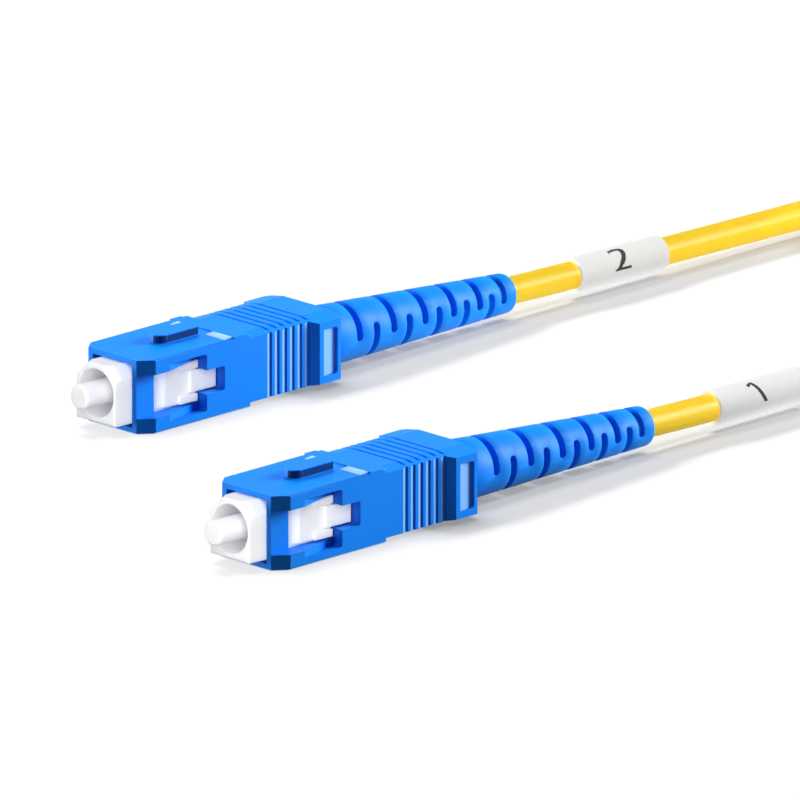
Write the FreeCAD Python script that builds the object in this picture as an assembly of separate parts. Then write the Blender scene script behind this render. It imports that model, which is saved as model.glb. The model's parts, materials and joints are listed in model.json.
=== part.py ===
import FreeCAD
import Part
import math
import os

# A single-fibre optical patch cord with a push-pull connector on each end, in millimetres.
# +X runs from the optical faces towards the cord, +Y away from end 1 and +Z up. The origin lies on the
# supporting surface, under the middle of the two connectors. Each connector is built about its own axis,
# where u is the distance behind the front face of its grip housing, and then put in its place.

# Cord, sleeve and coil
cord_diameter = 2.8
sleeve_diameter = 3.6
sleeve_length = 12.0
sleeve_gap = 9.2
sleeve_clearance = 0.03
coil_middle_diameter = 33.6
coil_columns = 4
coil_rows = 2
coil_centre_x = 94.0
tie_thickness = 0.4
tie_width = 6.0

# How the two ends lie: each plug rides loose in its grip housing, tipped nose up by its drooping cord
end_spacing = 41.7
end_stagger = 22.6
plug_tilt = 1.1
tilt_place = 9.3
boot_droop = 1.8
cord_droop = 0.75
cord_bend_gap = 2.0
settle_run_1 = 24.0
settle_run_2 = 37.0
low_point_back = 32.5
rise_point_back = 16.5
surface_gap = 0.05

# Clearances
slide_clearance = 0.15
seat_clearance = 0.02
stop_gap = 0.1
grip_travel = 1.0
ferrule_travel = 1.0

# Ferrule, its holder and its spring
ferrule_diameter = 2.5
ferrule_seat_diameter = 2.1
ferrule_chamfer = 0.2
ferrule_reach = 2.3
ferrule_seat_depth = 2.0
holder_width = 3.7
holder_length = 2.6
holder_tail_diameter = 2.0
holder_tail_length = 2.4
spring_wire = 0.4
spring_radius = 1.55
spring_turns = 5
spring_length = 6.3
fibre_diameter = 0.9
fibre_clearance = 0.1

# Plug frame
frame_reach = 2.3
frame_width = 5.35
frame_height = 5.86
frame_corner = 1.15
frame_nose_corner = 1.7
frame_nose_length = 0.95
frame_side_gap = 0.06
frame_edge = 0.12
frame_bore_diameter = 4.85
frame_bore_bevel = 0.1
frame_bore_depth = 5.0
frame_web = 1.0
frame_cavity_diameter = 4.6
frame_tail = 5.0
lug_height = 0.65
lug_ramp = 0.7
lug_plane_drop = 0.3
lug_ear_length = 2.35
lug_ear_height = 0.75
lug_block_length = 0.95

# Stop ring, yarn and crimp ring
barb_length = 1.6
barb_width = 1.8
barb_height = 0.4
stop_flange_length = 1.0
post_diameter = 3.5
post_length = 5.0
post_groove_count = 4
post_groove_depth = 0.12
yarn_thickness = 0.2
crimp_wall = 0.26
jacket_entry = 0.5

# Boot
collar_diameter = 5.5
boot_base_diameter = 6.25
boot_end_diameter = 3.95
boot_end_round = 0.6
boot_length = 26.15
boot_bore_clearance = 0.1
boot_web = 0.2
slot_count = 6
slot_width = 0.85
slot_first = 3.4
slot_pitch = 4.9
slot_pitch_ratio = 0.915
upper_slot_end_angle = -8.0
lower_slot_end_angle = 25.0

# Grip housing
grip_width = 9.0
grip_height = 7.4
grip_length = 26.25
grip_edge = 0.2
plug_length = 14.3
front_chamfer_length = 1.5
front_chamfer_width = 1.16
bridge_length = 2.35
channel_height = 4.4
window_start = 3.4
window_end = 8.45
window_height = 5.8
window_round = 0.3
release_ramp_drop = 1.35
tongue_slot_height = 2.44
tongue_slot_length = 2.43
key_width = 2.1
key_height = 0.85
key_start = 5.4
key_length = 5.2
band_start = 12.2
band_height = 0.08
band_length = 1.4
pad_length = 1.1
pad_height = 0.1
pad_inner = 1.5
pad_side_margin = 0.3
rear_height = 7.0
rear_flat_margin = 1.1
tooth_start = 16.25
tooth_count = 6
tooth_depth = 0.24
tooth_land = 0.385
rear_block_length = 3.25
flare_height = 0.8
flare_length = 0.6
block_side_height = 6.2
block_round = 0.4
recess_front_margin = 0.55
recess_back_margin = 0.4
recess_height = 4.75
recess_depth = 0.42
recess_lip = 0.05
groove_start = 17.3
groove_count = 6
groove_back_margin = 3.7
groove_width = 0.3
groove_depth = 0.2
groove_side_margin = 0.6

# Places along a connector's axis, worked out from the sizes above
cord_radius = cord_diameter / 2
frame_front = -frame_reach
ferrule_tip = frame_front - ferrule_reach
frame_web_front = frame_front + frame_bore_depth
frame_web_back = frame_web_front + frame_web
holder_front = frame_web_back + stop_gap / 2
holder_back = holder_front + holder_length
spring_front = holder_back + seat_clearance
spring_back = spring_front + spring_length
stop_front = spring_back + seat_clearance
frame_back = stop_front + frame_tail
post_front = frame_back + stop_flange_length
post_back = post_front + post_length
crimp_step = post_back + stop_gap
jacket_front = crimp_step + jacket_entry
boot_front = post_front + grip_travel + stop_gap
boot_shoulder = grip_length + grip_travel + slide_clearance
crimp_back = boot_shoulder
flare_start = grip_length - rear_block_length - flare_length
groove_pitch = (grip_length - groove_back_margin - groove_start) / (groove_count - 1)
yarn_radius = post_diameter / 2 + seat_clearance + yarn_thickness
crimp_radius = yarn_radius + seat_clearance + crimp_wall
cord_crimp_radius = cord_radius + seat_clearance + crimp_wall
tilt_rise = tilt_place * math.tan(math.radians(plug_tilt))
tilt_drop = (grip_length - tilt_place) * math.tan(math.radians(plug_tilt))
cavity_half_width = frame_width / 2 + frame_side_gap
cavity_half_height = frame_height / 2 + tilt_rise + slide_clearance / 2
cavity_back = post_front + slide_clearance
bridge_face = grip_width / 2 - front_chamfer_width
axis_height = grip_height / 2
tilt_pivot = FreeCAD.Vector(tilt_place, 0, 0)
tilt_turn = FreeCAD.Rotation(FreeCAD.Vector(0, 1, 0), plug_tilt)
droop = math.radians(boot_droop)
settle = math.radians(cord_droop)
droop_way = FreeCAD.Vector(math.cos(droop), 0, -math.sin(droop))
settle_way = FreeCAD.Vector(math.cos(settle), 0, -math.sin(settle))
boot_pivot = tilt_pivot + tilt_turn.multVec(FreeCAD.Vector(boot_shoulder, 0, 0) - tilt_pivot)
jacket_start = tilt_pivot + tilt_turn.multVec(FreeCAD.Vector(jacket_front, 0, 0) - tilt_pivot)
boot_tip = boot_pivot + droop_way * boot_length
cord_bend = boot_tip + droop_way * cord_bend_gap

# Middle of the two connectors at the origin
middle = (boot_tip.x + ferrule_tip) / 2
end_places = {
    "1": FreeCAD.Vector(-middle - end_stagger / 2, -end_spacing / 2, axis_height),
    "2": FreeCAD.Vector(-middle + end_stagger / 2, end_spacing / 2, axis_height),
}


def block(u0, u1, v0, v1, z0, z1):
    """A box between two corners."""
    return Part.makeBox(u1 - u0, v1 - v0, z1 - z0, FreeCAD.Vector(u0, v0, z0))


def prism(points, direction):
    """A closed outline pushed along a direction."""
    outline = Part.makePolygon([FreeCAD.Vector(*point) for point in points + points[:1]])
    return Part.Face(outline).extrude(FreeCAD.Vector(*direction))


def plan_prism(points, z0, z1):
    """An outline in u and v, pushed up from z0 to z1."""
    return prism([(u, v, z0) for u, v in points], (0, 0, z1 - z0))


def side_prism(points, v0, v1):
    """An outline in u and z, pushed across from v0 to v1."""
    return prism([(u, v0, z) for u, z in points], (0, v1 - v0, 0))


def end_prism(points, u0, u1):
    """An outline in v and z, pushed back from u0 to u1."""
    return prism([(u0, v, z) for v, z in points], (u1 - u0, 0, 0))


def turned(points):
    """An outline in u and radius, turned about the axis."""
    outline = Part.makePolygon([FreeCAD.Vector(u, r, 0) for u, r in points + points[:1]])
    return Part.Face(outline).revolve(FreeCAD.Vector(), FreeCAD.Vector(1, 0, 0), 360)


def rod(radius, u0, u1):
    """A cylinder on the axis."""
    return Part.makeCylinder(radius, u1 - u0, FreeCAD.Vector(u0, 0, 0), FreeCAD.Vector(1, 0, 0))


def tipped(shape):
    """Tips a piece of the plug nose up about the place where the plug rides in its grip housing."""
    shape.rotate(tilt_pivot, FreeCAD.Vector(0, 1, 0), plug_tilt)
    return shape


def lie_down(shape):
    """Turns a shape built about Z so that its Z runs along u, its X along v and its Y up."""
    shape.rotate(FreeCAD.Vector(), FreeCAD.Vector(1, 1, 1), 120)
    return shape


def mirrored_outline(half):
    """An outline from its points at positive v, front to back, and their mirror images."""
    return half + [(u, -v) for u, v in reversed(half)]


def grip_outer():
    """The moulded shell's outside: square plug section, ridged waist and flared rear block."""
    half_width = grip_width / 2
    root = half_width - tooth_depth
    half = [(0, half_width - front_chamfer_width), (front_chamfer_length, half_width)]
    pitch = (flare_start - tooth_start) / tooth_count
    for tooth in range(tooth_count):
        place = tooth_start + tooth * pitch
        half.append((place + tooth_land, half_width))
        half.append((place + pitch, root))
        half.append((place + pitch, half_width))
    block_half_width = half_width + flare_height
    half.append((flare_start + flare_length, block_half_width))
    half.append((grip_length - block_round, block_half_width))
    half.append((grip_length, block_half_width - block_round))
    sides = plan_prism(mirrored_outline(half), -grip_height, grip_height)

    plug = block(0, plug_length, -half_width, half_width, -grip_height / 2, grip_height / 2)
    long_edges = [edge for edge in plug.Edges if edge.Length > plug_length - grip_edge]
    plug = plug.makeFillet(grip_edge, [edge for edge in long_edges if abs(edge.tangentAt(0).x) > 0.5])
    band_top = grip_height / 2 + band_height
    band_outline = [
        (band_start, 0),
        (band_start, band_top),
        (band_start + band_length, band_top),
        (plug_length, rear_height / 2),
        (plug_length, 0),
    ]
    band = side_prism(band_outline, -half_width, half_width)

    flat = block_half_width - rear_flat_margin * 2
    right = [
        (flat, rear_height / 2),
        (block_half_width, block_side_height / 2),
        (block_half_width, -block_side_height / 2),
        (flat, -rear_height / 2),
    ]
    left = [(-v, z) for v, z in reversed(right)]
    rear = end_prism(right + left, plug_length, grip_length)
    return plug.fuse([band, rear]).common(sides)


def grip_key():
    """The polarising key on top, round at its front, and the two lead-in pads beside it."""
    top = grip_height / 2
    half_width = key_width / 2
    nose_centre = key_start + half_width
    key_back = key_start + key_length
    bar = block(nose_centre, key_back, -half_width, half_width, top - grip_edge, top + key_height)
    nose = Part.makeCylinder(
        half_width,
        key_height + grip_edge,
        FreeCAD.Vector(nose_centre, 0, top - grip_edge),
    )
    pad_outline = [
        (band_start - pad_length, top - grip_edge),
        (band_start - pad_length, top),
        (band_start, top + pad_height),
        (band_start, top - grip_edge),
    ]
    pad_outer = grip_width / 2 - pad_side_margin
    pads = [side_prism(pad_outline, pad_inner, pad_outer), side_prism(pad_outline, -pad_outer, -pad_inner)]
    return [bar.fuse(nose)] + pads


def grip_window(side):
    """What is cut from one side wall: the hook channel above the bridge, the window and the tongue slot."""
    outside = grip_width
    channel = channel_height / 2
    window = window_height / 2
    slot = tongue_slot_height / 2
    inner = cavity_half_width - slide_clearance
    slot_end = window_end + tongue_slot_length
    over_bridge = block(-1, bridge_length, bridge_face, outside, -channel, channel)
    behind_bridge = block(bridge_length, window_start, inner, outside, -channel, channel)
    opening = rounded_opening(window_start, window_end, window, inner, outside)
    tongue_slot = rounded_opening(window_end - window_round, slot_end, slot, inner, outside)
    ramp_outline = [
        (window_start, inner),
        (window_start, grip_width / 2),
        (window_end, grip_width / 2 - release_ramp_drop),
        (window_end, inner),
    ]
    ramps = [plan_prism(ramp_outline, channel, window), plan_prism(ramp_outline, -window, -channel)]
    cut = opening.cut(ramps).fuse([over_bridge, behind_bridge, tongue_slot])
    if side < 0:
        cut = cut.mirror(FreeCAD.Vector(), FreeCAD.Vector(0, 1, 0))
    return cut


def rounded_opening(start, end, half_height, inner, outside):
    """A cut right through a side wall."""
    return rounded_back(block(start, end, inner, outside, -half_height, half_height), end)


def rounded_back(cutter, back):
    """A cutter for a side wall, with both of its rear corners rounded."""
    rear_edges = []
    for edge in cutter.Edges:
        if abs(edge.tangentAt(0).y) > 0.5 and edge.BoundBox.XMin > back - window_round:
            rear_edges.append(edge)
    return cutter.makeFillet(window_round, rear_edges)


def grip_grooves():
    """Thin finger grooves with round ends, across the top and the bottom of the ridged waist."""
    reach = grip_width / 2 - groove_side_margin
    radius = groove_width / 2
    tools = []
    for groove in range(groove_count):
        middle_u = groove_start + groove * groove_pitch
        for low in (rear_height / 2 - groove_depth, -rear_height / 2 - groove_depth):
            high = low + groove_depth * 2
            tools.append(block(middle_u - radius, middle_u + radius, -reach, reach, low, high))
            for end in (-reach, reach):
                tools.append(Part.makeCylinder(radius, high - low, FreeCAD.Vector(middle_u, end, low)))
    return tools


def grip_recesses():
    """The blind finger recess in each side of the rear block, sloping deeper towards the back."""
    face = grip_width / 2 + flare_height
    front = flare_start + flare_length + recess_front_margin
    back = grip_length - recess_back_margin - block_round
    half = recess_height / 2
    outline = [
        (front, face - recess_lip),
        (front, face + 1),
        (back, face + 1),
        (back, face - recess_depth),
    ]
    recess = rounded_back(plan_prism(outline, -half, half), back)
    return [recess, recess.mirror(FreeCAD.Vector(), FreeCAD.Vector(0, 1, 0))]


def grip_housing():
    """The sliding outer shell."""
    shell = grip_outer().fuse(grip_key())
    half_width, half_height = cavity_half_width, cavity_half_height
    cavity = block(-1, cavity_back, -half_width, half_width, -half_height, half_height)
    rear_bore = rod(collar_diameter / 2 + tilt_drop + slide_clearance, cavity_back - 1, grip_length + 1)
    tools = [cavity, rear_bore, grip_window(1), grip_window(-1)]
    return shell.cut(tools + grip_grooves() + grip_recesses())


def frame_lug(side):
    """One side lug: lead-in ramp, sunk plane between two ears, and the tongue that stops the grip housing."""
    wall = frame_width / 2
    face = wall + lug_height
    plane = face - lug_plane_drop
    inside = wall - frame_edge
    foot = bridge_length + grip_travel + stop_gap
    lug_end = window_end - stop_gap
    half = channel_height / 2 - slide_clearance
    tongue_half = tongue_slot_height / 2 - slide_clearance
    outline = [
        (foot, inside),
        (foot, wall),
        (foot + lug_ramp, plane),
        (lug_end, plane),
        (lug_end, inside),
    ]
    base = plan_prism(outline, -half, half)
    ear_start = lug_end - lug_ear_length
    ears = [
        block(ear_start, lug_end, inside, face, half - lug_ear_height, half),
        block(ear_start, lug_end, inside, face, -half, -half + lug_ear_height),
    ]
    tongue_end = window_end + tongue_slot_length - stop_gap
    tongue = block(lug_end - lug_block_length, tongue_end, inside, face, -tongue_half, tongue_half)
    lug = base.fuse(ears + [tongue])
    if side < 0:
        lug = lug.mirror(FreeCAD.Vector(), FreeCAD.Vector(0, 1, 0))
    return lug


def barb_place(extra):
    """The latch windows in the frame's sides, or with no extra room the barbs that fill them."""
    middle_u = (stop_front + frame_back) / 2
    reach_u = barb_length / 2 + extra
    reach_z = barb_width / 2 + extra
    return middle_u - reach_u, middle_u + reach_u, reach_z


def frame_section(u, corner):
    """The frame's outline across the axis at one place, with both upper corners cut off."""
    half_width = frame_width / 2
    half_height = frame_height / 2
    outline = [
        (-half_width, -half_height),
        (half_width, -half_height),
        (half_width, half_height - corner),
        (half_width - corner, half_height),
        (-half_width + corner, half_height),
        (-half_width, half_height - corner),
    ]
    return Part.makePolygon([FreeCAD.Vector(u, v, z) for v, z in outline + outline[:1]])


def plug_frame():
    """The inner frame that holds the ferrule and latches into an adapter, with a tapered nose."""
    nose_back = frame_front + frame_nose_length
    front = frame_section(frame_front, frame_nose_corner)
    middle = frame_section(nose_back, frame_corner)
    nose = Part.makeLoft([front, middle], True, True)
    body = Part.Face(middle).extrude(FreeCAD.Vector(frame_back - nose_back, 0, 0))
    body = body.fuse(nose).removeSplitter()
    front_edges = [edge for edge in body.Edges if edge.BoundBox.XMax < frame_front + frame_edge / 2]
    body = body.makeChamfer(frame_edge, front_edges)
    bore_radius = frame_bore_diameter / 2
    mouth = bore_radius + frame_bore_bevel
    web_radius = ferrule_diameter / 2 + stop_gap / 2
    cavity_radius = frame_cavity_diameter / 2
    inside = turned([
        (frame_front - 1, 0),
        (frame_front - 1, mouth + 1),
        (frame_front, mouth),
        (frame_front + frame_bore_bevel, bore_radius),
        (frame_web_front, bore_radius),
        (frame_web_front, web_radius),
        (frame_web_back, web_radius),
        (frame_web_back, cavity_radius),
        (frame_back + 1, cavity_radius),
        (frame_back + 1, 0),
    ])
    start, end, reach = barb_place(slide_clearance)
    latch_windows = block(start, end, -frame_width, frame_width, -reach, reach)
    return body.fuse([frame_lug(1), frame_lug(-1)]).cut([inside, latch_windows])


def ferrule():
    """The ground ferrule, stepped where the holder takes it."""
    radius = ferrule_diameter / 2
    seat_radius = ferrule_seat_diameter / 2
    seat_end = holder_front + ferrule_seat_depth
    return turned([
        (ferrule_tip, 0),
        (ferrule_tip, radius - ferrule_chamfer),
        (ferrule_tip + ferrule_chamfer, radius),
        (frame_web_front, radius),
        (frame_web_front, seat_radius),
        (seat_end, seat_radius),
        (seat_end, 0),
    ])


def ferrule_flange():
    """The hexagonal holder behind the ferrule, with a tail that guides the spring."""
    corner = holder_width / math.sqrt(3)
    points = []
    for step in range(6):
        angle = math.radians(60 * step)
        points.append((corner * math.cos(angle), corner * math.sin(angle)))
    collar = end_prism(points, holder_front, holder_back)
    tail = rod(holder_tail_diameter / 2, holder_back, holder_back + holder_tail_length)
    seat = rod(
        ferrule_seat_diameter / 2 + seat_clearance, holder_front - 1, holder_front + ferrule_seat_depth
    )
    fibre_hole = rod(fibre_diameter / 2 + fibre_clearance, holder_front, holder_back + holder_tail_length + 1)
    return collar.fuse(tail).cut([seat, fibre_hole])


def ferrule_spring():
    """The coil spring between the holder and the stop ring."""
    rise = spring_length - spring_wire
    helix = Part.makeHelix(rise / spring_turns, rise, spring_radius)
    half = spring_wire / 2
    corners = [(-half, -half), (half, -half), (half, half), (-half, half), (-half, -half)]
    section = Part.makePolygon([FreeCAD.Vector(spring_radius + x, 0, z) for x, z in corners])
    coil = Part.Wire(helix.Edges).makePipeShell([section], True, True)
    coil = lie_down(coil)
    coil.translate(FreeCAD.Vector(spring_front + half, 0, 0))
    return coil


def stop_ring():
    """The rear body: barrel in the frame, flange behind it and the grooved post for the yarn."""
    barrel_radius = frame_cavity_diameter / 2 - seat_clearance
    bore_radius = fibre_diameter / 2 + fibre_clearance * 2
    post_radius = post_diameter / 2
    outline = [
        (stop_front, bore_radius),
        (stop_front, barrel_radius),
        (frame_back, barrel_radius),
        (frame_back, frame_width / 2 - seat_clearance),
        (post_front, frame_width / 2 - seat_clearance),
        (post_front, post_radius),
    ]
    pitch = post_length / (post_groove_count + 1)
    for groove in range(post_groove_count):
        place = post_front + pitch * (groove + 1)
        outline.append((place - post_groove_depth, post_radius))
        outline.append((place, post_radius - post_groove_depth))
        outline.append((place + post_groove_depth, post_radius))
    outline.append((post_back, post_radius))
    outline.append((post_back, bore_radius))
    start, end, reach = barb_place(0)
    tip = frame_cavity_diameter / 2 + barb_height
    barb_half = [(start, bore_radius), (start + barb_height, tip), (end, tip)]
    barbs = plan_prism(mirrored_outline(barb_half), -reach, reach)
    hole = rod(bore_radius, stop_front - 1, post_back + 1)
    return turned(outline).fuse(barbs).cut(hole)


def aramid_yarn():
    """The strength yarn, laid as a sleeve over the post."""
    inner = post_diameter / 2 + seat_clearance
    start = post_front + stop_gap
    end = post_back - stop_gap
    return rod(inner + yarn_thickness, start, end).cut(rod(inner, start - 1, end + 1))


def crimp_ring():
    """The stepped metal sleeve: large over the yarn, small over the jacket."""
    front = post_front + stop_gap
    return turned([
        (front, yarn_radius + seat_clearance),
        (front, crimp_radius),
        (crimp_step + crimp_wall, crimp_radius),
        (crimp_step + crimp_wall, cord_crimp_radius),
        (crimp_back, cord_crimp_radius),
        (crimp_back, cord_radius + seat_clearance),
        (crimp_step, cord_radius + seat_clearance),
        (crimp_step, yarn_radius + seat_clearance),
    ])


def buffered_fibre():
    """The coated fibre from inside the holder to the end of the jacket."""
    front = holder_front + ferrule_seat_depth + ferrule_travel + stop_gap
    return rod(fibre_diameter / 2, front, jacket_front)


def boot_slot(place, first_angle, last_angle):
    """One flexing slot round part of the boot's body, with round ends, down to a thin inner wall."""
    core = cord_radius + boot_bore_clearance + boot_web
    outside = boot_base_diameter
    end_angle = math.degrees(slot_width / (boot_base_diameter / 2 + boot_end_diameter / 2))
    start = first_angle + end_angle
    span = last_angle - first_angle - 2 * end_angle
    wedge = Part.makeCylinder(outside, slot_width, FreeCAD.Vector(), FreeCAD.Vector(0, 0, 1), span)
    wedge.translate(FreeCAD.Vector(0, 0, -slot_width / 2))
    wedge = wedge.cut(Part.makeCylinder(core, slot_width * 2, FreeCAD.Vector(0, 0, -slot_width)))
    ends = []
    for angle in (0, span):
        turn = math.radians(angle)
        way = FreeCAD.Vector(math.cos(turn), math.sin(turn), 0)
        ends.append(Part.makeCylinder(slot_width / 2, outside - core, way * core, way))
    slot = wedge.fuse(ends)
    slot.rotate(FreeCAD.Vector(), FreeCAD.Vector(0, 0, 1), start)
    slot = lie_down(slot)
    slot.translate(FreeCAD.Vector(place, 0, 0))
    return slot


def boot_body():
    """The tapered, drooping part of the boot from its pivot, slotted from above and below by turns."""
    bore = cord_radius + boot_bore_clearance
    body = turned([
        (0, 0),
        (0, boot_base_diameter / 2),
        (boot_length, boot_end_diameter / 2),
        (boot_length, 0),
    ])
    rim = [edge for edge in body.Edges if edge.BoundBox.XMin > boot_length - stop_gap and edge.Closed]
    wall = boot_end_diameter / 2 - bore
    body = body.makeFillet(min(boot_end_round, wall * 0.9), rim)
    slots = []
    place = slot_first
    pitch = slot_pitch
    for number in range(slot_count):
        slots.append(boot_slot(place, upper_slot_end_angle, 180 - upper_slot_end_angle))
        if number < slot_count - 1:
            slots.append(boot_slot(place + pitch / 2, 180 - lower_slot_end_angle, 360 + lower_slot_end_angle))
        place = place + pitch
        pitch = pitch * slot_pitch_ratio
    body = body.cut(slots + [rod(bore, -1, boot_length + 1)])
    body.rotate(FreeCAD.Vector(), FreeCAD.Vector(0, 1, 0), boot_droop)
    body.translate(boot_pivot)
    return body


def boot():
    """The bend protector: a collar inside the grip housing, and the slotted body that droops from it."""
    crimp_bore = crimp_radius + seat_clearance
    tail_bore = cord_crimp_radius + seat_clearance
    step = crimp_step + crimp_wall + stop_gap
    collar = rod(collar_diameter / 2, boot_front, boot_shoulder + slide_clearance)
    crimp_room = turned([
        (boot_front - 1, 0),
        (boot_front - 1, crimp_bore),
        (step, crimp_bore),
        (step, tail_bore),
        (boot_shoulder + slide_clearance, tail_bore),
        (boot_shoulder + slide_clearance, 0),
    ])
    return tipped(collar).fuse(boot_body()).cut(tipped(crimp_room))


def marker_sleeve():
    """The numbered tube, hanging on the cord by its own clearance."""
    front = sleeve_gap - cord_bend_gap
    bore = rod(cord_radius + sleeve_clearance, front - 1, front + sleeve_length + 1)
    tube = rod(sleeve_diameter / 2, front, front + sleeve_length).cut(bore)
    tube.translate(FreeCAD.Vector(0, 0, seat_clearance - sleeve_clearance))
    tube.rotate(FreeCAD.Vector(), FreeCAD.Vector(0, 1, 0), cord_droop)
    tube.translate(cord_bend)
    return tube


def cord_tube(name, points):
    """A round cord along straight runs, joined by arcs as large as the runs allow."""
    edges = []
    start = points[0]
    for before, corner, after in zip(points, points[1:], points[2:]):
        back = (before - corner).normalize()
        ahead = (after - corner).normalize()
        turn = math.pi - back.getAngle(ahead)
        cut = 0.45 * min(before.distanceToPoint(corner), corner.distanceToPoint(after))
        radius = cut / math.tan(turn / 2)
        print(name, "arc radius", round(radius, 1))
        bisector = (back + ahead).normalize()
        centre = corner + bisector * (radius / math.cos(turn / 2))
        arc = Part.Arc(corner + back * cut, centre - bisector * radius, corner + ahead * cut)
        edges.append(Part.LineSegment(start, corner + back * cut).toShape())
        edges.append(arc.toShape())
        start = corner + ahead * cut
    edges.append(Part.LineSegment(start, points[-1]).toShape())
    path = Part.Wire(edges)
    section = Part.Wire(Part.makeCircle(cord_radius, points[0], points[1] - points[0]))
    tube = path.makePipeShell([section], True, False)
    ideal = math.pi * cord_radius ** 2 * path.Length
    print(name, "volume", round(tube.Volume, 2), "section times length", round(ideal, 2))
    return tube


def coil_outline():
    """The section of the wound coil: turns that lie beside and on each other, with bevelled corners."""
    inner = coil_middle_diameter / 2 - coil_columns * cord_radius
    outer = coil_middle_diameter / 2 + coil_columns * cord_radius
    base = tie_thickness
    top = base + coil_rows * cord_diameter
    bevel = cord_radius / 2
    corners = [
        (inner + bevel, base),
        (outer - bevel, base),
        (outer, base + bevel),
        (outer, top - bevel),
        (outer - bevel, top),
        (inner + bevel, top),
        (inner, top - bevel),
        (inner, base + bevel),
    ]
    return Part.makePolygon([FreeCAD.Vector(x, 0, z) for x, z in corners + corners[:1]])


def cord_coil():
    """The put-away length, as one ring of the coil's outer shape."""
    ring = Part.Face(coil_outline()).revolve(FreeCAD.Vector(), FreeCAD.Vector(0, 0, 1), 360)
    ring.translate(FreeCAD.Vector(coil_centre_x, 0, 0))
    return ring


def coil_tie(angle):
    """One band tied round the coil's section."""
    outline = coil_outline()
    band = Part.Face(outline.makeOffset2D(tie_thickness, 2)).cut(Part.Face(outline))
    span = math.degrees(tie_width / (coil_middle_diameter / 2))
    tie = band.Faces[0].revolve(FreeCAD.Vector(), FreeCAD.Vector(0, 0, 1), span)
    tie.rotate(FreeCAD.Vector(), FreeCAD.Vector(0, 0, 1), angle - span / 2)
    tie.translate(FreeCAD.Vector(coil_centre_x, 0, 0))
    return tie


def save(name, shape):
    """Writes one sub-part as a single clean solid."""
    shape = shape.removeSplitter()
    if len(shape.Solids) == 1:
        shape = shape.Solids[0]
    print(name, "solids", len(shape.Solids), "valid", shape.isValid(), "volume", round(shape.Volume, 3))
    shape.exportStep("parts/" + name + ".step")


os.makedirs("parts", exist_ok=True)

connector_pieces = {
    "grip_housing": grip_housing(),
    "plug_frame": tipped(plug_frame()),
    "ferrule": tipped(ferrule()),
    "ferrule_flange": tipped(ferrule_flange()),
    "ferrule_spring": tipped(ferrule_spring()),
    "stop_ring": tipped(stop_ring()),
    "aramid_yarn": tipped(aramid_yarn()),
    "crimp_ring": tipped(crimp_ring()),
    "buffered_fibre": tipped(buffered_fibre()),
    "boot": boot(),
    "marker_sleeve": marker_sleeve(),
}
for end, place in end_places.items():
    for name, shape in connector_pieces.items():
        save(name + "_" + end, shape.translated(place))

# The cord droops from each connector to the surface; end 2 joins the coil's first row and end 1 its second
lane = end_spacing / 2
coil_outer_lane = coil_middle_diameter / 2 + (coil_columns - 1) * cord_radius
first_row = tie_thickness + cord_radius
second_row = first_row + cord_diameter
low_lane = lane * 0.9 + coil_outer_lane * 0.1
rise_lane = (lane + coil_outer_lane) / 2
held_points = {}
for end, place in end_places.items():
    held_points[end] = [place + jacket_start, place + boot_pivot, place + cord_bend]
route_1 = held_points["1"] + [
    end_places["1"] + cord_bend + settle_way * settle_run_1,
    FreeCAD.Vector(coil_centre_x - low_point_back, -low_lane, cord_radius + surface_gap),
    FreeCAD.Vector(coil_centre_x - rise_point_back, -rise_lane, first_row + cord_radius / 2),
    FreeCAD.Vector(coil_centre_x, -coil_outer_lane, second_row),
]
route_2 = held_points["2"] + [
    end_places["2"] + cord_bend + settle_way * settle_run_2,
    FreeCAD.Vector(coil_centre_x, coil_outer_lane, first_row),
]
save("cord_run_1", cord_tube("cord_run_1", route_1))
save("cord_run_2", cord_tube("cord_run_2", route_2))
save("cord_coil", cord_coil())
save("coil_tie_a", coil_tie(0))
save("coil_tie_b", coil_tie(180))
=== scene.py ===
import bpy
import json
import math
from mathutils import Matrix, Vector

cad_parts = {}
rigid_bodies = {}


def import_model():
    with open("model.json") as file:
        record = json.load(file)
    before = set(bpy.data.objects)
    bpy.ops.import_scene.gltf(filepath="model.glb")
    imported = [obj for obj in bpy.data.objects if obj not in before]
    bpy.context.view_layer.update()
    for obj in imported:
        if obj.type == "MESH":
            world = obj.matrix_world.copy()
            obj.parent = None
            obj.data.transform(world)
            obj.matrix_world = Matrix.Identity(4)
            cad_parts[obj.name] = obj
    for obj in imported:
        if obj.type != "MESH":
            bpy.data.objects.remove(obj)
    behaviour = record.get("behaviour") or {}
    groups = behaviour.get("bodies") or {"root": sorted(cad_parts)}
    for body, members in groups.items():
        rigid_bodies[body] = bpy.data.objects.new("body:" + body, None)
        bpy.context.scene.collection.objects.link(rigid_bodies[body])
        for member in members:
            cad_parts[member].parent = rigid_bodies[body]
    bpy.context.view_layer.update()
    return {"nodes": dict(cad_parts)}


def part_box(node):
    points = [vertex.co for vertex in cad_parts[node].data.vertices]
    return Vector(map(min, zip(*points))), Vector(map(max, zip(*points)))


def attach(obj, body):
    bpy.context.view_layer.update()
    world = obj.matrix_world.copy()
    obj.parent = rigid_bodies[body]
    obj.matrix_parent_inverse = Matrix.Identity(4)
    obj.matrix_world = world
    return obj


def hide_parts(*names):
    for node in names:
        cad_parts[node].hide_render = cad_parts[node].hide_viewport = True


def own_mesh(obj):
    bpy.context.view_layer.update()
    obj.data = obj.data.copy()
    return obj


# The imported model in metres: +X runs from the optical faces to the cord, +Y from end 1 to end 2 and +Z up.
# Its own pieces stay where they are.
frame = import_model()

# Ferrules: ground zirconia rods that carry the fibre, pressed into their holders and polished at the tip.
# The ceramic is a dense, slightly cool white with a fine grain and a high polish.


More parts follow.
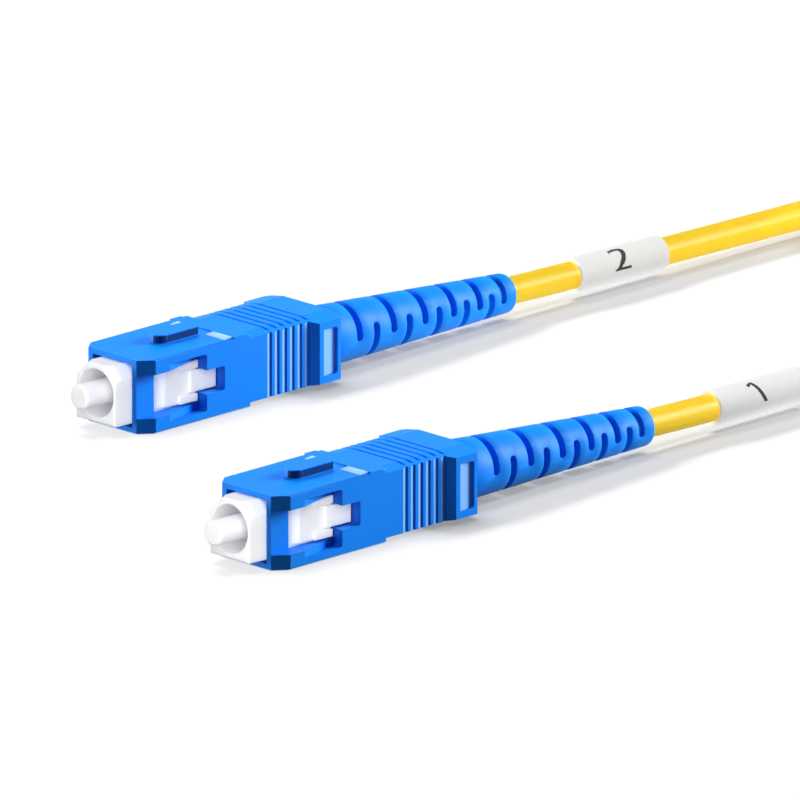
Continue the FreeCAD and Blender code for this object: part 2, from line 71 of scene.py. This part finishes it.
def moulded_skin():
    """Shared effect on Object coordinates: slow colour drift, uneven gloss and a mould's fine grain."""
    group = bpy.data.node_groups.new("moulded_skin", "ShaderNodeTree")
    for side, number_names in (("INPUT", ("Drift", "Gloss", "Grain")), ("OUTPUT", ("Roughness", "Height"))):
        group.interface.new_socket(name="Colour", in_out=side, socket_type="NodeSocketColor")
        for name in number_names:
            group.interface.new_socket(name=name, in_out=side, socket_type="NodeSocketFloat")
    nodes, links = group.nodes, group.links
    given = nodes.new("NodeGroupInput")
    out = nodes.new("NodeGroupOutput")
    place = nodes.new("ShaderNodeTexCoord")
    slow = nodes.new("ShaderNodeTexNoise")
    slow.inputs["Scale"].default_value = 220
    slow.inputs["Detail"].default_value = 3
    fine = nodes.new("ShaderNodeTexNoise")
    fine.inputs["Detail"].default_value = 2
    swing = nodes.new("ShaderNodeMapRange")
    swing.inputs["To Min"].default_value = -1
    swing.inputs["To Max"].default_value = 1
    drift = nodes.new("ShaderNodeMath")
    drift.operation = "MULTIPLY_ADD"
    drift.inputs[2].default_value = 1
    tint = nodes.new("ShaderNodeVectorMath")
    tint.operation = "SCALE"
    gloss = nodes.new("ShaderNodeMath")
    gloss.operation = "MULTIPLY"
    links.new(place.outputs["Object"], slow.inputs["Vector"])
    links.new(place.outputs["Object"], fine.inputs["Vector"])
    links.new(given.outputs["Grain"], fine.inputs["Scale"])
    links.new(slow.outputs["Fac"], swing.inputs["Value"])
    links.new(swing.outputs["Result"], drift.inputs[0])
    links.new(given.outputs["Drift"], drift.inputs[1])
    links.new(given.outputs["Colour"], tint.inputs[0])
    links.new(drift.outputs[0], tint.inputs["Scale"])
    links.new(drift.outputs[0], gloss.inputs[0])
    links.new(given.outputs["Gloss"], gloss.inputs[1])
    links.new(tint.outputs[0], out.inputs["Colour"])
    links.new(gloss.outputs[0], out.inputs["Roughness"])
    links.new(fine.outputs["Fac"], out.inputs["Height"])
    return group


skin_group = moulded_skin()


def shader_of(material):
    """The shader node of a material."""
    return material.node_tree.nodes["Principled BSDF"]


def moulded_material(name, colour, drift, roughness, grain, depth):
    """A material with the shared skin: grain is in cycles per metre and depth in metres."""
    material = bpy.data.materials.new(name)
    material.use_nodes = True
    nodes, links = material.node_tree.nodes, material.node_tree.links
    skin = nodes.new("ShaderNodeGroup")
    skin.name = "skin"
    skin.node_tree = skin_group
    skin.inputs["Colour"].default_value = (*colour, 1)
    skin.inputs["Drift"].default_value = drift
    skin.inputs["Gloss"].default_value = roughness
    skin.inputs["Grain"].default_value = grain
    bump = nodes.new("ShaderNodeBump")
    bump.inputs["Distance"].default_value = depth
    shader = shader_of(material)
    links.new(skin.outputs["Colour"], shader.inputs["Base Color"])
    links.new(skin.outputs["Roughness"], shader.inputs["Roughness"])
    links.new(skin.outputs["Height"], bump.inputs["Height"])
    links.new(bump.outputs["Normal"], shader.inputs["Normal"])
    return material


def both(stem, ends=("_1", "_2")):
    """The two CAD nodes of one kind."""
    return [frame["nodes"][stem + end] for end in ends]


def finish_nodes(pair, material):
    """Gives the CAD nodes of one kind their material."""
    for node in pair:
        node.data.materials.clear()
        node.data.materials.append(material)


def soften_edges(pair, width):
    """Rounds the sharp edges of CAD nodes a little, as a mould does, with live modifiers."""
    for node in pair:
        weld = node.modifiers.new("one skin", "WELD")
        weld.merge_threshold = 0.000002
        bevel = node.modifiers.new("edge round", "BEVEL")
        bevel.width = width
        bevel.segments = 2
        bevel.limit_method = "ANGLE"
        bevel.angle_limit = math.radians(28)
        bevel.harden_normals = True


def let_light_in(material, spread, depth):
    """Lets light scatter inside a pale material: spread by colour, and depth in metres."""
    shader = shader_of(material)
    shader.inputs["Subsurface Weight"].default_value = 1
    shader.inputs["Subsurface Radius"].default_value = spread
    shader.inputs["Subsurface Scale"].default_value = depth


zirconia = moulded_material("polished_zirconia", (0.92, 0.915, 0.97), 0.015, 0.22, 30000, 0.0000004)
let_light_in(zirconia, (1, 1, 1), 0.0005)
finish_nodes(both("ferrule"), zirconia)

# Plug frames: white moulded bodies that hold the ferrule and latch into an adapter by their side lugs.
# The glass-filled resin is satin and a little cold, and lets some light into its thin walls.
frame_resin = moulded_material("white_frame_resin", (0.92, 0.92, 0.98), 0.015, 0.42, 26000, 0.0000015)
let_light_in(frame_resin, (1, 1, 1), 0.0005)
finish_nodes(both("plug_frame"), frame_resin)
soften_edges(both("plug_frame"), 0.00006)

# Inner parts: the nickel-plated holder and stop ring, the crimp ring, the yarn and the coated fibre.
# They sit inside the housing and the boot, and show only when the grip housing is off.
nickel = moulded_material("nickel_plating", (0.62, 0.58, 0.5), 0.03, 0.25, 40000, 0.0000006)
shader_of(nickel).inputs["Metallic"].default_value = 1
finish_nodes(both("ferrule_flange"), nickel)
finish_nodes(both("stop_ring"), nickel)
crimp_alloy = moulded_material("crimped_alloy", (0.7, 0.7, 0.72), 0.04, 0.38, 20000, 0.000002)
shader_of(crimp_alloy).inputs["Metallic"].default_value = 1
finish_nodes(both("crimp_ring"), crimp_alloy)
yarn_strands = moulded_material("aramid_strands", (0.78, 0.56, 0.12), 0.12, 0.7, 9000, 0.00004)
finish_nodes(both("aramid_yarn"), yarn_strands)
fibre_coat = moulded_material("fibre_coating", (0.82, 0.82, 0.78), 0.02, 0.4, 30000, 0.000001)
finish_nodes(both("buffered_fibre"), fibre_coat)

# Ferrule springs: five turns of round 0.4 mm drawn steel wire between each holder and its stop ring.
# Each is wound inside the box of its solid.
spring_steel = moulded_material("drawn_spring_steel", (0.5, 0.5, 0.52), 0.04, 0.3, 60000, 0.0000006)
shader_of(spring_steel).inputs["Metallic"].default_value = 1
wire_diameter = 0.0004
wire_sides = 12
spring_turns = 5
steps_per_turn = 24
plug_tilt = math.radians(1.1)
for end in ("1", "2"):
    lowest, highest = (Vector(corner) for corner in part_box("ferrule_spring_" + end))
    spring_length = highest.x - lowest.x
    wound_radius = (highest.y - lowest.y - wire_diameter) / 2
    rise = spring_length - wire_diameter
    bpy.ops.object.select_all(action="DESELECT")
    bpy.ops.mesh.primitive_circle_add(
        vertices=wire_sides,
        radius=wire_diameter / 2,
        location=(wound_radius, 0, 0),
        rotation=(math.radians(90), 0, 0),
    )
    spring = bpy.context.object
    spring.name = "wound_spring_" + end
    bpy.ops.object.transform_apply(location=True, rotation=True, scale=True)
    winding = spring.modifiers.new("turns", "SCREW")
    winding.iterations = spring_turns
    winding.screw_offset = rise / spring_turns
    winding.steps = steps_per_turn
    bpy.ops.object.modifier_apply(modifier=winding.name)
    bpy.ops.object.mode_set(mode="EDIT")
    bpy.ops.mesh.select_all(action="SELECT")
    bpy.ops.mesh.fill_holes(sides=0)
    bpy.ops.mesh.normals_make_consistent(inside=False)
    bpy.ops.object.mode_set(mode="OBJECT")
    bpy.ops.object.shade_smooth_by_angle(angle=math.radians(50))
    middle = Matrix.Translation((lowest + highest) / 2)
    lying = Matrix.Rotation(math.radians(90) + plug_tilt, 4, "Y")
    spring.matrix_world = middle @ lying @ Matrix.Translation((0, 0, -rise / 2))
    bpy.ops.object.transform_apply(location=True, rotation=True, scale=True)
    spring.data.materials.append(spring_steel)
    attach(spring, "core")
    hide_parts("ferrule_spring_" + end)
    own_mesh(spring)

# Grip housings: bright blue moulded shells that slide on the frames, with key, windows and finger ridges.
# The resin is satin, with soft mould edges. A painted highlight makes the ridge slopes, recess floors and
# pads paler, and painted shade darkens the key's near side. The lanes lie 20.85 mm off the middle, and the
# fronts are staggered.
grip_resin = moulded_material("blue_grip_resin", (0.003, 0.235, 0.94), 0.03, 0.42, 24000, 0.000002)
low_shine = 0.12
shader_of(grip_resin).inputs["Specular IOR Level"].default_value = low_shine
lane_offset = 0.02085
axis_height = 0.0037
mean_front_x, half_stagger = -0.02447, 0.0113
ridges_start, ridges_end, ridge_pitch = 0.01625, 0.0224, 0.001025
grip_nodes, grip_links = grip_resin.node_tree.nodes, grip_resin.node_tree.links


def worked(operation, *values):
    """One arithmetic step in the grip's material, on sockets or plain numbers."""
    node = grip_nodes.new("ShaderNodeMath")
    node.operation = operation
    for place, value in enumerate(values):
        if isinstance(value, (int, float)):
            node.inputs[place].default_value = value
        else:
            grip_links.new(value, node.inputs[place])
    return node.outputs[0]


def within(value, low, high):
    """1 where a value lies between two limits, else 0."""
    return worked("COMPARE", value, (low + high) / 2, (high - low) / 2)


def all_of(*tests):
    """1 where every test holds."""
    result = tests[0]
    for test in tests[1:]:
        result = worked("MULTIPLY", result, test)
    return result


grip_place = grip_nodes.new("ShaderNodeTexCoord")
grip_axes = grip_nodes.new("ShaderNodeSeparateXYZ")
grip_links.new(grip_place.outputs["Object"], grip_axes.inputs[0])
which_end = worked("SIGN", grip_axes.outputs["Y"])
front_x = worked("MULTIPLY_ADD", which_end, half_stagger, mean_front_x)
behind_front = worked("SUBTRACT", grip_axes.outputs["X"], front_x)
off_lane = worked("SUBTRACT", worked("ABSOLUTE", grip_axes.outputs["Y"]), lane_offset)
off_axis = worked("ABSOLUTE", off_lane)
across = worked("MULTIPLY", which_end, off_lane)
over_axis = worked("SUBTRACT", grip_axes.outputs["Z"], axis_height)
from_axis = worked("ABSOLUTE", over_axis)
ridge_phase = worked("MODULO", worked("SUBTRACT", behind_front, ridges_start), ridge_pitch)
# Where the painted highlight goes: the ridge slopes, the recess floors and the pads.
ridge_faces = all_of(
    within(behind_front, ridges_start, ridges_end),
    within(ridge_phase, 0.00039, 0.00102),
    within(off_axis, 0.0042, 0.0046),
    within(from_axis, 0, 0.0032),
)
recess_faces = all_of(
    within(behind_front, 0.02355, 0.02542),
    within(off_axis, 0.0048, 0.00526),
    within(from_axis, 0, 0.00236),
)
pad_faces = all_of(
    within(behind_front, 0.0111, 0.01215),
    within(off_axis, 0.0015, 0.0042),
    within(across, -0.0042, 0.0034),
    within(over_axis, 0.00368, 0.00385),
)
# Where the painted shade goes: the key's near side.
key_side_shade = all_of(
    within(behind_front, 0.0053, 0.0107),
    within(across, -0.0011, -0.0001),
    within(over_axis, 0.00375, 0.00445),
)
finger_share = 0.55
finger_faces = worked("MULTIPLY", worked("MAXIMUM", ridge_faces, recess_faces), finger_share)
highlight_faces = worked("MAXIMUM", finger_faces, pad_faces)
grip_skin = grip_nodes["skin"]
speckle_swing, least_speckle = 0.5, 0.7
speckle = worked("MULTIPLY_ADD", grip_skin.outputs["Height"], speckle_swing, least_speckle)
# Painted highlight: a paler blue laid on those faces, broken up by the grain.
painted_highlight = grip_nodes.new("ShaderNodeMix")
painted_highlight.data_type = "RGBA"
painted_highlight.inputs["B"].default_value = (0.36, 0.6, 0.95, 1)
grip_links.new(worked("MULTIPLY", highlight_faces, speckle), painted_highlight.inputs["Factor"])
grip_links.new(grip_skin.outputs["Colour"], painted_highlight.inputs["A"])
# Painted shade: a dark blue laid along the key's near side.
painted_key_shade = grip_nodes.new("ShaderNodeMix")
painted_key_shade.data_type = "RGBA"
painted_key_shade.inputs["B"].default_value = (0.001, 0.035, 0.16, 1)
grip_links.new(key_side_shade, painted_key_shade.inputs["Factor"])
grip_links.new(painted_highlight.outputs["Result"], painted_key_shade.inputs["A"])
grip_links.new(painted_key_shade.outputs["Result"], shader_of(grip_resin).inputs["Base Color"])
finish_nodes(both("grip_housing"), grip_resin)
soften_edges(both("grip_housing"), 0.00008)

# Boots: softer blue mouldings behind the grips, slotted by turns from above and below so that they bend.
# The rubbery compound is duller than the grip's resin.
boot_compound = moulded_material("blue_boot_compound", (0.003, 0.215, 0.82), 0.04, 0.5, 16000, 0.000004)
shader_of(boot_compound).inputs["Specular IOR Level"].default_value = low_shine
finish_nodes(both("boot"), boot_compound)
soften_edges(both("boot"), 0.00006)

# Marker sleeves: short pale tubes pushed over the cord, each printed with the number of its end.
# The print runs along the cord and is wrapped round the tube, a hair above its surface.
sleeve_vinyl = moulded_material("pale_sleeve_vinyl", (0.85, 0.86, 0.87), 0.02, 0.6, 20000, 0.000002)
let_light_in(sleeve_vinyl, (1, 1, 1), 0.0002)
finish_nodes(both("marker_sleeve"), sleeve_vinyl)
print_ink = moulded_material("grey_print_ink", (0.04, 0.04, 0.042), 0.05, 0.7, 30000, 0.000001)
digits = []
sleeve_radius = 0.0018
print_height = 0.003
print_width_share = 1.2
print_turn = math.radians(56)
half_cuts = 9
held_off = 0.004


def printed_one():
    """The figure 1 as a flat mesh: an upright stroke, with a flag drawn out of its upper left edge."""
    stroke, height, flag = 0.00036, 0.92 * print_height, (-0.0005, -0.0003, 0)
    bpy.ops.mesh.primitive_plane_add(size=1)
    bpy.ops.object.mode_set(mode="EDIT")
    bpy.ops.transform.resize(value=(stroke, height, 1))
    bpy.ops.mesh.bisect(plane_co=(0, height / 2 - stroke, 0), plane_no=(0, 1, 0))
    bpy.ops.mesh.select_all(action="DESELECT")
    bpy.ops.object.mode_set(mode="OBJECT")
    for vertex in bpy.context.object.data.vertices:
        vertex.select = vertex.co.x < 0 and vertex.co.y > height / 4
    bpy.ops.object.mode_set(mode="EDIT")
    bpy.ops.mesh.extrude_edges_move(TRANSFORM_OT_translate={"value": flag})
    bpy.ops.object.mode_set(mode="OBJECT")


def printed_two():
    """The figure 2 as a flat mesh, from the plain built-in lettering made a little bolder."""
    bpy.ops.object.text_add()
    figure = bpy.context.object.data
    height_share = 0.7
    figure.body = "2"
    figure.align_x = "CENTER"
    figure.align_y = "CENTER"
    figure.size = print_height / height_share
    figure.offset = 0.00003
    figure.resolution_u = 6
    bpy.ops.object.convert(target="MESH")


for end, drawn, middle, lean in (
    ("1", printed_one, (0.03251, -lane_offset, 0.00222), 9),
    ("2", printed_two, (0.05511, lane_offset, 0.00222), 0),
):
    bpy.ops.object.select_all(action="DESELECT")
    drawn()
    digit = bpy.context.object
    digit.name = "sleeve_number_" + end
    bpy.ops.object.mode_set(mode="EDIT")
    for cut in range(-half_cuts, half_cuts + 1):
        bpy.ops.mesh.select_all(action="SELECT")
        bpy.ops.mesh.bisect(plane_co=(0, cut * print_height / (2 * half_cuts), 0), plane_no=(0, 1, 0))
    bpy.ops.object.mode_set(mode="OBJECT")
    facing = Matrix.Rotation(print_turn, 4, "X") @ Matrix.Translation((0, 0, held_off))
    spread = Matrix.Diagonal((print_width_share, held_off / sleeve_radius, 1, 1))
    leaning = Matrix.Rotation(math.radians(lean), 4, "Z")
    digit.matrix_world = Matrix.Translation(middle) @ facing @ spread @ leaning
    bpy.ops.object.transform_apply(location=True, rotation=True, scale=True)
    wrap = digit.modifiers.new("wrap round the tube", "SHRINKWRAP")
    wrap.target = frame["nodes"]["marker_sleeve_" + end]
    wrap.wrap_method = "NEAREST_SURFACEPOINT"
    wrap.wrap_mode = "ABOVE_SURFACE"
    wrap.offset = 0.00001
    bpy.ops.object.modifier_apply(modifier=wrap.name)
    digit.data.materials.append(print_ink)
    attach(digit, "core")
    digits.append(digit)

# Cord: one yellow jacketed fibre cord from boot to boot, 2.8 mm thick and about a metre long.
# It droops from each boot to the surface, and the length that is put away is wound into a tied coil:
# seven and a half turns in two layers of four, each place given by its radius and height.
cord_diameter = 0.0028
coil_middle_x = 0.094
from_end_2 = [
    (0.01112, lane_offset, 0.00341),
    (0.01423, lane_offset, 0.00335),
    (0.04237, lane_offset, 0.00247),
    (0.07936, lane_offset, 0.00198),
]
to_end_1 = [
    (0.0775, -0.02093, 0.0025),
    (0.0615, -0.02087, 0.00145),
    (0.04376, -lane_offset, 0.00215),
    (0.01977, -lane_offset, 0.00247),
    (-0.00837, -lane_offset, 0.00335),
    (-0.01148, -lane_offset, 0.00341),
]
turn_radii = (0.021, 0.0182, 0.0154, 0.0126)
low_turns = [(radius, 0.0018) for radius in turn_radii]
high_turns = [(radius, 0.0046) for radius in reversed(turn_radii)]
turn_places = low_turns + high_turns
degrees_turned, step = 2700, 15
first_change, change_spacing, change_length = 300, 342, 45
coil_points = []
for turned in range(0, degrees_turned + step, step):
    radius, height = turn_places[0]
    for number, (next_radius, next_height) in enumerate(turn_places[1:]):
        share = (turned - first_change - number * change_spacing) / change_length
        share = min(max(share, 0), 1)
        share = share * share * (3 - 2 * share)
        radius += (next_radius - radius) * share
        height += (next_height - height) * share
    radius /= math.cos(math.radians(step / 2))
    angle = math.radians(90 - turned)
    coil_points.append((coil_middle_x + radius * math.cos(angle), radius * math.sin(angle), height))
route = from_end_2 + coil_points + to_end_1
cord_curve = bpy.data.curves.new("fibre_cord", "CURVE")
cord_curve.dimensions = "3D"
cord_curve.bevel_depth = cord_diameter / 2
cord_curve.bevel_resolution = 6
cord_curve.resolution_u = 8
cord_curve.use_fill_caps = True
spline = cord_curve.splines.new("NURBS")
spline.points.add(len(route) - 1)
for point, place in zip(spline.points, route):
    point.co = (*place, 1)
spline.use_endpoint_u = True
spline.order_u = 3
cord = bpy.data.objects.new("fibre_cord", cord_curve)
bpy.context.collection.objects.link(cord)
cord_jacket = moulded_material("yellow_cord_jacket", (0.93, 0.62, 0.015), 0.03, 0.4, 14000, 0.000003)
let_light_in(cord_jacket, (1, 0.8, 0.2), 0.0006)
shader_of(cord_jacket).inputs["Specular IOR Level"].default_value = low_shine
cord.data.materials.append(cord_jacket)
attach(cord, "core")
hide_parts("cord_run_1", "cord_run_2", "cord_coil")

# Coil ties: two black hook-and-loop bands that hold the put-away turns together.
# Their felted face is dull and rough.
tie_felt = moulded_material("black_tie_felt", (0.016, 0.016, 0.017), 0.2, 0.85, 7000, 0.00008)
finish_nodes(both("coil_tie", ("_a", "_b")), tie_felt)

# Floor: a plain white sheet, 8 m wide, that keeps the soft shadows. The camera and reflections see it white.
# It glows onto the object, a painted bounce light that is low by the connectors and rises towards the cords.


def seen_directly(tree):
    """1 for what the camera sees straight, in a reflection or through something, and 0 for thrown light."""
    path = tree.nodes.new("ShaderNodeLightPath")
    result = path.outputs["Is Camera Ray"]
    for kind in ("Is Glossy Ray", "Is Transmission Ray"):
        either = tree.nodes.new("ShaderNodeMath")
        either.operation = "MAXIMUM"
        tree.links.new(result, either.inputs[0])
        tree.links.new(path.outputs[kind], either.inputs[1])
        result = either.outputs[0]
    return result


bpy.ops.object.select_all(action="DESELECT")
bpy.ops.mesh.primitive_plane_add(size=8, location=(0, 0, -0.00005))
floor = bpy.context.object
floor.name = "floor"
floor_sheet = bpy.data.materials.new("white_floor_sheet")
floor_sheet.use_nodes = True
nodes, links = floor_sheet.node_tree.nodes, floor_sheet.node_tree.links
shader = shader_of(floor_sheet)
shader.inputs["Roughness"].default_value = 0.9
shader.inputs["Specular IOR Level"].default_value = 0
shader.inputs["Emission Color"].default_value = (1, 1, 1, 1)
floor_place = nodes.new("ShaderNodeTexCoord")
floor_axes = nodes.new("ShaderNodeSeparateXYZ")
# The floor's glow onto the object, a painted bounce light that rises along X.
bounce_glow = nodes.new("ShaderNodeMapRange")
bounce_glow.inputs["From Min"].default_value = 0
bounce_glow.inputs["From Max"].default_value = 0.035
bounce_glow.inputs["To Min"].default_value = 0.1
bounce_glow.inputs["To Max"].default_value = 0.95
glow = nodes.new("ShaderNodeMix")
glow.inputs["B"].default_value = 0.13
shade = nodes.new("ShaderNodeMix")
shade.data_type = "RGBA"
shade.inputs["A"].default_value = (0.03, 0.03, 0.03, 1)
shade.inputs["B"].default_value = (0.25, 0.25, 0.25, 1)
links.new(floor_place.outputs["Object"], floor_axes.inputs[0])
links.new(floor_axes.outputs["X"], bounce_glow.inputs["Value"])
seen = seen_directly(floor_sheet.node_tree)
links.new(seen, glow.inputs["Factor"])
links.new(seen, shade.inputs["Factor"])
links.new(shade.outputs["Result"], shader.inputs["Base Color"])
links.new(bounce_glow.outputs["Result"], glow.inputs["A"])
links.new(glow.outputs["Result"], shader.inputs["Emission Strength"])
floor.data.materials.append(floor_sheet)

# Studio light: soft boxes round the object, each tied to the pieces that it lights and those that shade it.
# Three light the blue bodies, and the first of them the cord and sleeves too. Two light the noses,
# three the cord, one the sleeves, and four the floor alone, for its shadows. The room itself is dim.


def toward(azimuth, elevation):
    """The direction from the origin to a place in the room, by its angles in degrees."""
    turn, lift = math.radians(azimuth), math.radians(elevation)
    return Vector((math.cos(turn) * math.cos(lift), math.sin(turn) * math.cos(lift), math.sin(lift)))


def gathered(name, things):
    """A collection of the pieces that a lamp lights, or that shade its light."""
    group = bpy.data.collections.new(name)
    for thing in things:
        group.objects.link(thing)
    return group


def soft_box(name, azimuth, elevation, distance, size, level, lit, shaded_by):
    """An area lamp that lights some pieces from one direction; at level 1 it lights a white face fully."""
    lamp = bpy.data.lights.new(name, "AREA")
    lamp.shape = "RECTANGLE"
    lamp.size, lamp.size_y = size
    lamp.energy = level * (math.pi * distance) ** 2
    box = bpy.data.objects.new(name, lamp)
    way = toward(azimuth, elevation)
    box.location = way * distance
    box.rotation_mode = "QUATERNION"
    box.rotation_quaternion = way.to_track_quat("Z", "Y")
    box.visible_camera = False
    box.light_linking.receiver_collection = lit
    box.light_linking.blocker_collection = shaded_by
    bpy.context.collection.objects.link(box)
    return box


nose_pieces = both("plug_frame") + both("ferrule")
sleeve_pieces = digits + both("marker_sleeve")
connector_pieces = [
    piece for piece in bpy.context.scene.objects
    if piece.type == "MESH" and piece not in sleeve_pieces + [floor]
]
noses = gathered("noses", nose_pieces)
bodies = gathered("bodies", [piece for piece in connector_pieces if piece not in nose_pieces])
not_noses = gathered("not_noses", list(bodies.objects) + [cord] + sleeve_pieces)
connectors = gathered("connectors", connector_pieces)
cord_alone = gathered("cord_alone", [cord])
sleeves = gathered("sleeves", sleeve_pieces)
everything = gathered("everything", [cord] + sleeve_pieces + connector_pieces)
ground = gathered("ground", [floor])
trailing = gathered("trailing", [cord] + sleeve_pieces + both("boot"))
standing = gathered("standing", both("grip_housing"))
near, farther, far = 0.6, 0.8, 3
small, usual, large = (0.2, 0.2), (0.3, 0.3), (0.7, 0.7)
soft_box("left_box", 132, 9, near, usual, 1.1, not_noses, everything)
soft_box("right_box", -30, 22, near, usual, 1.85, bodies, everything)
back_box = soft_box("back_box", 60, 40, farther, small, 0.95, bodies, everything)
back_box.visible_glossy = False
soft_box("nose_box", -138, 22, near, large, 1.75, noses, connectors)
soft_box("nose_back", 75, 40, near, usual, 0.6, noses, connectors)
soft_box("lead_box", -90, 52, near, usual, 0.92, cord_alone, connectors)
soft_box("sleeve_box", -90, 76, near, usual, 0.97, sleeves, connectors)
soft_box("lead_back", 80, 40, farther, small, 0.3, cord_alone, connectors)
shine_box = soft_box("shine_box", -48, 27, near, usual, 2.9, cord_alone, connectors)
shine_box.visible_diffuse = False
soft_box("shadow_box", 100, 78, far, (1.2, 1.2), 0.75, ground, everything)
soft_box("low_shadow", 90, 40, far, (2.4, 0.5), 2.3, ground, trailing)
soft_box("front_shadow", -90, 65, far, (2.4, 0.9), 0.8, ground, trailing)
soft_box("open_sky", 0, 90, far, (5, 5), 1.7, ground, standing)
world = bpy.data.worlds.new("studio")
bpy.context.scene.world = world
world.use_nodes = True
room = world.node_tree.nodes["Background"]
room.inputs["Color"].default_value = (1, 1, 1, 1)
room_level = world.node_tree.nodes.new("ShaderNodeMapRange")
room_level.inputs["To Min"].default_value = 0.06
room_level.inputs["To Max"].default_value = 0.5
world.node_tree.links.new(seen_directly(world.node_tree), room_level.inputs["Value"])
world.node_tree.links.new(room_level.outputs["Result"], room.inputs["Strength"])

# Camera: a long lens at the photograph's angle, aimed by the second connector's front.
# It looks from the front on end 1's side, a little from above.
look_yaw, look_pitch = 45.38, -16.58
look = toward(look_yaw, look_pitch)
right = toward(look_yaw - 90, 0)
up = right.cross(look)
camera_data = bpy.data.cameras.new("camera")
camera_data.lens = 1500
camera_data.sensor_width = 36
camera_data.clip_start = 0.01
camera_data.clip_end = 50
camera = bpy.data.objects.new("camera", camera_data)
bpy.context.collection.objects.link(camera)
front_2 = Vector((mean_front_x + half_stagger, lane_offset, axis_height))
aim_right, aim_down, stand_back = 0.02789, 0.00091, 3.2323
spot = front_2 + right * aim_right - up * aim_down - look * stand_back
turn = Matrix((right, up, -look)).transposed().to_4x4()
camera.matrix_world = Matrix.Translation(spot) @ turn
bpy.context.scene.camera = camera
bpy.context.scene.view_settings.view_transform = "Standard"
